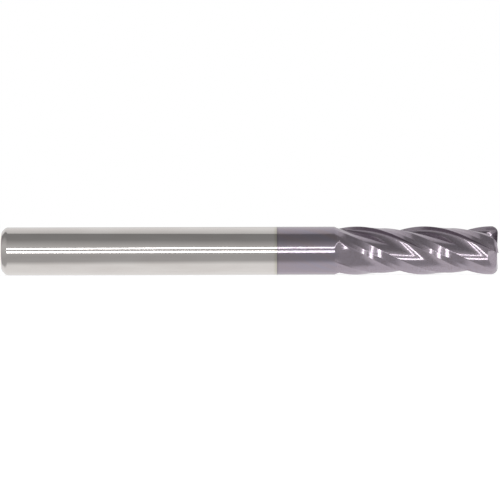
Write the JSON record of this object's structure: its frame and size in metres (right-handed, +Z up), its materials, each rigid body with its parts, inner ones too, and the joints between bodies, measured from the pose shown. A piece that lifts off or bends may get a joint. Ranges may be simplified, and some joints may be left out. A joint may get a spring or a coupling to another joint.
{
  "type": "end mill",
  "caption": "Solid-carbide end mill with helical flutes, corner radius, hard-coated cutter and bare plain cylindrical shank, for milling slots, shoulders and pockets.",
  "frame": {"origin": "middle of the shank's flat rear face, on the tool's axis", "axes": "+X along the tool's axis from the shank to the cutting end, +Z up with the tool lying on its side, +Y completes the right-handed frame"},
  "size_m": [0.062, 0.006, 0.006],
  "materials": {
    "ground_carbide": "bare cemented carbide, centreless ground to a bright satin",
    "cutter_carbide": "bare cemented carbide, form ground, all under the coating",
    "hard_coating": "purple-grey aluminium titanium nitride film, glossy over the grinding marks"
  },
  "bodies": {
    "root": {"shank": "ground_carbide", "cutter": "cutter_carbide", "hard_coating": "hard_coating"}
  },
  "joints": []
}
